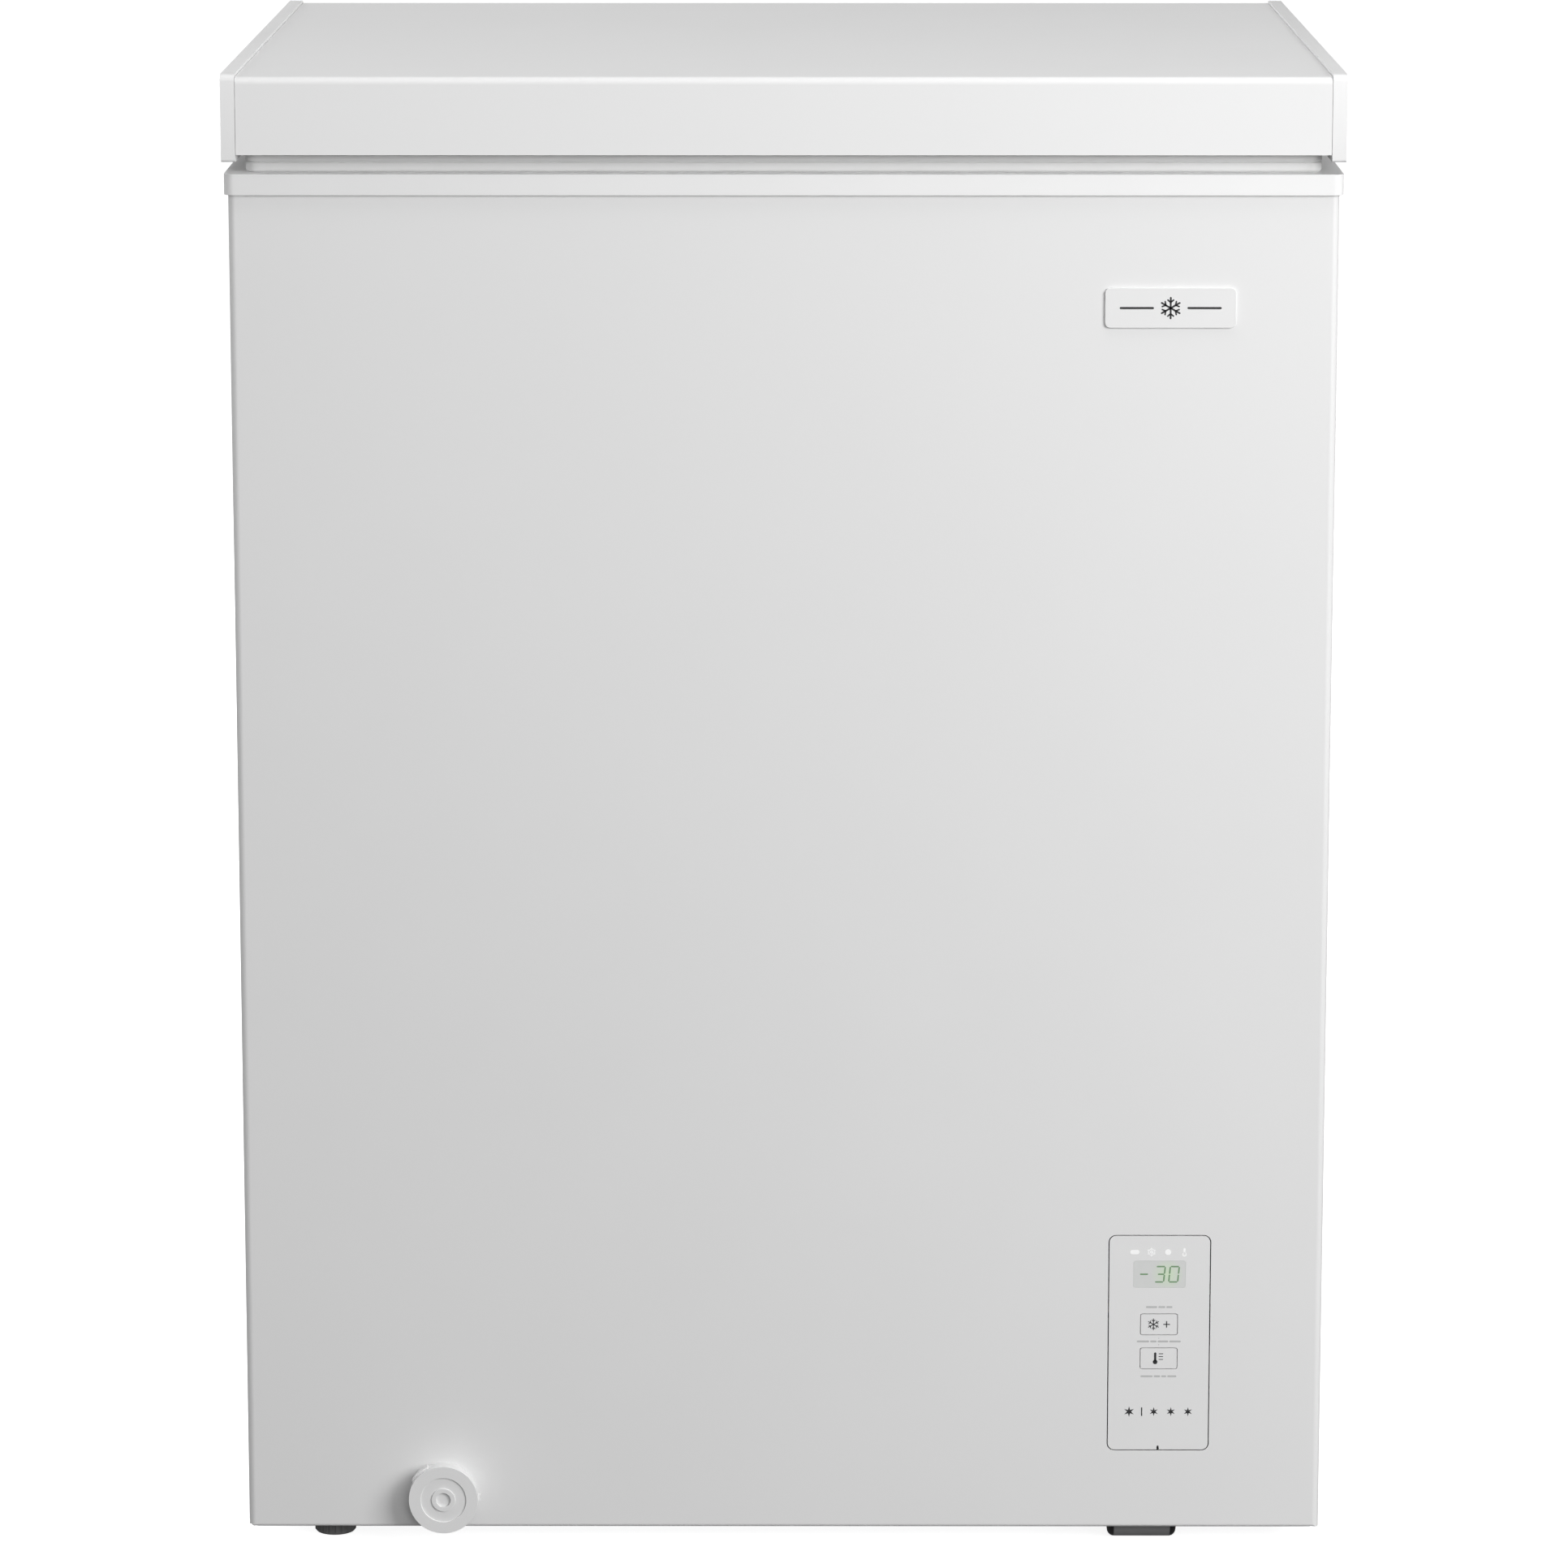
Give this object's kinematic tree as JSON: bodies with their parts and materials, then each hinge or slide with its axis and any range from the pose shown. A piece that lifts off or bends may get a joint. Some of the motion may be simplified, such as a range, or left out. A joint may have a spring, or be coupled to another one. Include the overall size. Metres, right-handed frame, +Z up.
{
  "type": "chest freezer",
  "caption": "Compact white chest freezer: foamed steel cabinet, hinged lid with end caps, front control panel, drain, basket, feet and rollers.",
  "frame": {"origin": "on the floor, under the middle of the whole freezer", "axes": "+X to the right as seen from the front, +Y to the rear, +Z up"},
  "size_m": [0.628, 0.5554, 0.856],
  "materials": {
    "painted_steel": "gloss",
    "galvanised_steel": "spangled",
    "insulation_foam": "matte",
    "liner_aluminium": "stucco embossed",
    "gloss_white_plastic": "gloss",
    "lid_liner_plastic": "satin",
    "pale_plastic": "satin",
    "copper_tube": "satin",
    "black_steel": "gloss",
    "rubber": "matte",
    "black_plastic": "matte",
    "circuit_board": "satin",
    "display_lens": "gloss",
    "dark_roller": "gloss",
    "zinc_steel": "satin",
    "seal": "satin",
    "coated_wire": "gloss"
  },
  "bodies": {
    "cabinet": {"outer_shell": "painted_steel", "back_panel": "galvanised_steel", "bottom_pan": "galvanised_steel", "compartment_partition": "galvanised_steel", "base_plate": "galvanised_steel", "foam_insulation": "insulation_foam", "inner_liner": "liner_aluminium", "top_frame": "gloss_white_plastic", "evaporator_coil": "liner_aluminium", "condenser_coil": "copper_tube", "compressor": "black_steel", "compressor_feet": "black_steel", "compressor_grommets": "rubber", "compressor_bolts": "zinc_steel", "terminal_cover": "black_plastic", "start_relay": "black_plastic", "discharge_tube": "copper_tube", "suction_tube": "copper_tube", "filter_drier": "copper_tube", "capillary_tube": "copper_tube", "power_box": "lid_liner_plastic", "power_board": "circuit_board", "rear_cover": "galvanised_steel", "rear_cover_screws": "zinc_steel", "cord_gland": "black_plastic", "side_grille": "gloss_white_plastic", "badge_plate": "gloss_white_plastic", "control_housing": "black_plastic", "control_fascia": "gloss_white_plastic", "display_window": "display_lens", "display_board": "circuit_board", "key_switches": "black_plastic", "drain_collar": "gloss_white_plastic", "drain_tube": "pale_plastic", "drain_strainer": "pale_plastic", "foot_bushes": "zinc_steel", "roller_brackets": "zinc_steel", "roller_axles": "zinc_steel", "hinge_brackets": "zinc_steel", "hinge_pivot_pins": "zinc_steel", "hinge_springs": "zinc_steel", "hinge_bracket_screws": "zinc_steel"},
    "lid": {"hinge_leaves": "zinc_steel", "hinge_leaf_screws": "zinc_steel", "lid_outer_panel": "painted_steel", "lid_cap_left": "gloss_white_plastic", "lid_cap_right": "gloss_white_plastic", "lid_foam": "insulation_foam", "lid_liner": "lid_liner_plastic", "lid_gasket": "seal"},
    "boost_key": {"key_boost": "gloss_white_plastic"},
    "temperature_key": {"key_temp": "gloss_white_plastic"},
    "spout": {"drain_spout": "gloss_white_plastic"},
    "dial": {"drain_dial": "gloss_white_plastic"},
    "floor_plug": {"floor_drain_plug": "rubber"},
    "front_foot": {"foot_front": "dark_roller"},
    "rear_foot": {"foot_rear": "dark_roller"},
    "front_roller": {"roller_front": "dark_roller"},
    "rear_roller": {"roller_rear": "dark_roller"},
    "basket": {"storage_basket": "coated_wire"}
  },
  "joints": [
    {"name": "lid_hinge", "type": "hinge", "parent": "cabinet", "child": "lid", "pos_m": [0, 0.26375, 0.797], "axis": [-1, 0, 0], "range_deg": [0, 85], "stiffness_Nm_per_rad": 2.4, "springref_deg": 97.4, "deforming": ["hinge_springs"]},
    {"name": "basket_slide", "type": "slide", "parent": "cabinet", "child": "basket", "axis": [1, 0, 0], "range_m": [-0.255, 0]},
    {"name": "boost_key_press", "type": "slide", "parent": "cabinet", "child": "boost_key", "axis": [0, 1, 0], "range_m": [0, 0.0007], "stiffness_N_per_m": 800},
    {"name": "temperature_key_press", "type": "slide", "parent": "cabinet", "child": "temperature_key", "axis": [0, 1, 0], "range_m": [0, 0.0007], "stiffness_N_per_m": 800},
    {"name": "drain_pull", "type": "slide", "parent": "cabinet", "child": "spout", "axis": [0, -1, 0], "range_m": [0, 0.012]},
    {"name": "drain_turn", "type": "hinge", "parent": "spout", "child": "dial", "pos_m": [-0.197, -0.26975, 0.033], "axis": [0, -1, 0], "range_deg": [0, 180]},
    {"name": "floor_plug_lift", "type": "slide", "parent": "cabinet", "child": "floor_plug", "axis": [0, 0, 1], "range_m": [0, 0.03]},
    {"name": "front_foot_turn", "type": "hinge", "parent": "cabinet", "child": "front_foot", "pos_m": [-0.263, -0.22875, 0], "axis": [0, 0, 1], "continuous": true},
    {"name": "rear_foot_turn", "type": "hinge", "parent": "cabinet", "child": "rear_foot", "pos_m": [-0.263, 0.21975, 0], "axis": [0, 0, 1], "continuous": true},
    {"name": "front_roller_spin", "type": "hinge", "parent": "cabinet", "child": "front_roller", "pos_m": [0.209, -0.23775, 0.015], "axis": [1, 0, 0], "continuous": true},
    {"name": "rear_roller_spin", "type": "hinge", "parent": "cabinet", "child": "rear_roller", "pos_m": [0.209, 0.22875, 0.015], "axis": [1, 0, 0], "continuous": true}
  ]
}
